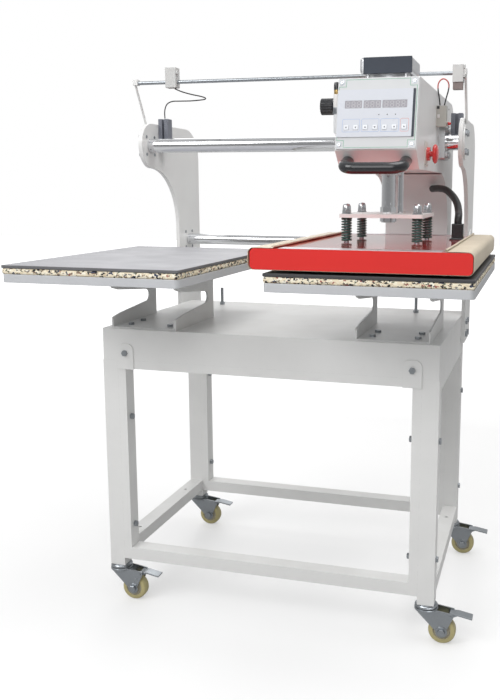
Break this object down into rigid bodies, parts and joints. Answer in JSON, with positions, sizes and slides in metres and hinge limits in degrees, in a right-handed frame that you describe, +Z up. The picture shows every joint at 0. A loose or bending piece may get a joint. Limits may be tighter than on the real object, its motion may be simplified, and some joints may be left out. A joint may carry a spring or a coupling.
{
  "type": "heat press",
  "caption": "Dual-table pneumatic heat press: head with a heated platen slides along rails between two padded tables on a wheeled stand.",
  "frame": {"origin": "on the floor, under the middle of the whole machine's bounding box", "axes": "+X to the operator's right, +Y away from the operator, +Z up"},
  "size_m": [0.974, 0.828, 1.306],
  "materials": {
    "powder_coat": "satin off-white powder coat",
    "zinc": "zinc plated",
    "hard_chrome": "ground and hard chromed",
    "tray_paint": "satin light grey paint",
    "rebond_foam": "rebonded foam crumb, cream with dark specks",
    "silicone_pad": "matte silicone rubber",
    "grey_plastic": "matte moulded",
    "dark_steel": "satin dark grey",
    "wire_sleeve": "matte insulation",
    "panel_plastic": "fine matte film",
    "black_plastic": "satin moulded",
    "bearing_steel": "machined",
    "aluminium_body": "anodised",
    "label_plate": "matte",
    "red_plastic": "glossy moulded",
    "heater_aluminium": "cast and machined",
    "red_enamel": "glossy red enamel",
    "nonstick_fabric": "coated woven glass fabric",
    "bright_steel": "bright zinc",
    "spring_steel": "dark green coated wire",
    "hose_rubber": "satin black",
    "wheel_polyurethane": "pale yellow polyurethane",
    "key_film": "embossed film"
  },
  "bodies": {
    "stand": {"side_frames": "powder_coat", "front_frame": "powder_coat", "rear_frame": "powder_coat", "frame_bolts": "zinc", "base_box": "powder_coat", "side_plates": "powder_coat", "guide_rails": "hard_chrome", "rail_hubs": "powder_coat", "plate_bolts": "zinc", "table_brackets": "powder_coat", "table_trays": "tray_paint", "foam_boards": "rebond_foam", "table_pads": "silicone_pad", "stop_studs": "zinc", "sensor_bar": "zinc", "limit_blocks": "grey_plastic", "end_channels": "dark_steel", "limit_wire": "wire_sleeve", "caster_stems": "zinc"},
    "head": {"carriage": "powder_coat", "head_case": "powder_coat", "front_panel": "panel_plastic", "carry_handle": "black_plastic", "rail_bearings": "bearing_steel", "air_cylinder": "aluminium_body", "stop_button_base": "label_plate", "limit_switch": "grey_plastic", "air_regulator": "dark_steel", "switch_leads": "wire_sleeve", "heater_hose": "hose_rubber"},
    "ram": {"piston_rod": "hard_chrome", "cross_plate": "bright_steel"},
    "platen": {"heater_plate": "heater_aluminium", "platen_cover": "red_enamel", "platen_fabric": "nonstick_fabric", "spring_bolts": "bright_steel", "press_springs": "spring_steel", "hose_socket": "black_plastic"},
    "stop_button": {"stop_button": "red_plastic"},
    "switch_plunger": {"switch_plunger": "red_plastic"},
    "regulator_knob": {"regulator_knob": "black_plastic"},
    "key_1": {"panel_key_1": "key_film"},
    "key_2": {"panel_key_2": "key_film"},
    "key_3": {"panel_key_3": "key_film"},
    "key_4": {"panel_key_4": "key_film"},
    "key_5": {"panel_key_5": "key_film"},
    "key_6": {"panel_key_6": "key_film"},
    "key_7": {"panel_key_7": "key_film"},
    "caster_1": {"caster_fork_1": "zinc"},
    "wheel_1": {"caster_wheel_1": "wheel_polyurethane"},
    "pedal_1": {"brake_pedal_1": "zinc"},
    "caster_2": {"caster_fork_2": "zinc"},
    "wheel_2": {"caster_wheel_2": "wheel_polyurethane"},
    "pedal_2": {"brake_pedal_2": "zinc"},
    "caster_3": {"caster_fork_3": "zinc"},
    "wheel_3": {"caster_wheel_3": "wheel_polyurethane"},
    "pedal_3": {"brake_pedal_3": "zinc"},
    "caster_4": {"caster_fork_4": "zinc"},
    "wheel_4": {"caster_wheel_4": "wheel_polyurethane"},
    "pedal_4": {"brake_pedal_4": "zinc"}
  },
  "joints": [
    {"name": "head_slide", "type": "slide", "parent": "stand", "child": "head", "axis": [1, 0, 0], "range_m": [-0.559, 0.015]},
    {"name": "platen_lift", "type": "slide", "parent": "head", "child": "platen", "axis": [0, 0, 1], "range_m": [-0.0056, 0.03], "deforming": ["heater_hose"]},
    {"name": "ram_press", "type": "slide", "parent": "platen", "child": "ram", "axis": [0, 0, 1], "range_m": [-0.006, 0], "stiffness_N_per_m": 20000, "springref_m": 0.02, "deforming": ["press_springs"]},
    {"name": "stop_button_press", "type": "slide", "parent": "head", "child": "stop_button", "axis": [-1, 0, 0], "range_m": [0, 0.005], "stiffness_N_per_m": 600},
    {"name": "switch_plunger_press", "type": "slide", "parent": "head", "child": "switch_plunger", "axis": [-1, 0, 0], "range_m": [0, 0.003], "stiffness_N_per_m": 400},
    {"name": "regulator_turn", "type": "hinge", "parent": "head", "child": "regulator_knob", "pos_m": [0.13, -0.081, 1.19], "axis": [-1, 0, 0], "range_deg": [-360, 360]},
    {"name": "key_1_press", "type": "slide", "parent": "head", "child": "key_1", "axis": [0, 0.9784, -0.2067], "range_m": [0, 0.0005], "stiffness_N_per_m": 500},
    {"name": "key_2_press", "type": "slide", "parent": "head", "child": "key_2", "axis": [0, 0.9784, -0.2067], "range_m": [0, 0.0005], "stiffness_N_per_m": 500},
    {"name": "key_3_press", "type": "slide", "parent": "head", "child": "key_3", "axis": [0, 0.9784, -0.2067], "range_m": [0, 0.0005], "stiffness_N_per_m": 500},
    {"name": "key_4_press", "type": "slide", "parent": "head", "child": "key_4", "axis": [0, 0.9784, -0.2067], "range_m": [0, 0.0005], "stiffness_N_per_m": 500},
    {"name": "key_5_press", "type": "slide", "parent": "head", "child": "key_5", "axis": [0, 0.9784, -0.2067], "range_m": [0, 0.0005], "stiffness_N_per_m": 500},
    {"name": "key_6_press", "type": "slide", "parent": "head", "child": "key_6", "axis": [0, 0.9784, -0.2067], "range_m": [0, 0.0005], "stiffness_N_per_m": 500},
    {"name": "key_7_press", "type": "slide", "parent": "head", "child": "key_7", "axis": [0, 0.9784, -0.2067], "range_m": [0, 0.0005], "stiffness_N_per_m": 500},
    {"name": "caster_1_swivel", "type": "hinge", "parent": "stand", "child": "caster_1", "pos_m": [-0.381, -0.151, 0.08], "axis": [0, 0, 1], "continuous": true},
    {"name": "wheel_1_spin", "type": "hinge", "parent": "caster_1", "child": "wheel_1", "pos_m": [-0.344, -0.151, 0.031], "axis": [0, 1, 0], "continuous": true},
    {"name": "pedal_1_brake", "type": "hinge", "parent": "caster_1", "child": "pedal_1", "pos_m": [-0.325, -0.151, 0.0696], "axis": [0, 1, 0], "range_deg": [0, 9]},
    {"name": "caster_2_swivel", "type": "hinge", "parent": "stand", "child": "caster_2", "pos_m": [0.381, -0.151, 0.08], "axis": [0, 0, 1], "continuous": true},
    {"name": "wheel_2_spin", "type": "hinge", "parent": "caster_2", "child": "wheel_2", "pos_m": [0.418, -0.151, 0.031], "axis": [0, 1, 0], "continuous": true},
    {"name": "pedal_2_brake", "type": "hinge", "parent": "caster_2", "child": "pedal_2", "pos_m": [0.437, -0.151, 0.0696], "axis": [0, 1, 0], "range_deg": [0, 9]},
    {"name": "caster_3_swivel", "type": "hinge", "parent": "stand", "child": "caster_3", "pos_m": [-0.381, 0.329, 0.08], "axis": [0, 0, 1], "continuous": true},
    {"name": "wheel_3_spin", "type": "hinge", "parent": "caster_3", "child": "wheel_3", "pos_m": [-0.344, 0.329, 0.031], "axis": [0, 1, 0], "continuous": true},
    {"name": "pedal_3_brake", "type": "hinge", "parent": "caster_3", "child": "pedal_3", "pos_m": [-0.325, 0.329, 0.0696], "axis": [0, 1, 0], "range_deg": [0, 9]},
    {"name": "caster_4_swivel", "type": "hinge", "parent": "stand", "child": "caster_4", "pos_m": [0.381, 0.329, 0.08], "axis": [0, 0, 1], "continuous": true},
    {"name": "wheel_4_spin", "type": "hinge", "parent": "caster_4", "child": "wheel_4", "pos_m": [0.418, 0.329, 0.031], "axis": [0, 1, 0], "continuous": true},
    {"name": "pedal_4_brake", "type": "hinge", "parent": "caster_4", "child": "pedal_4", "pos_m": [0.437, 0.329, 0.0696], "axis": [0, 1, 0], "range_deg": [0, 9]}
  ]
}
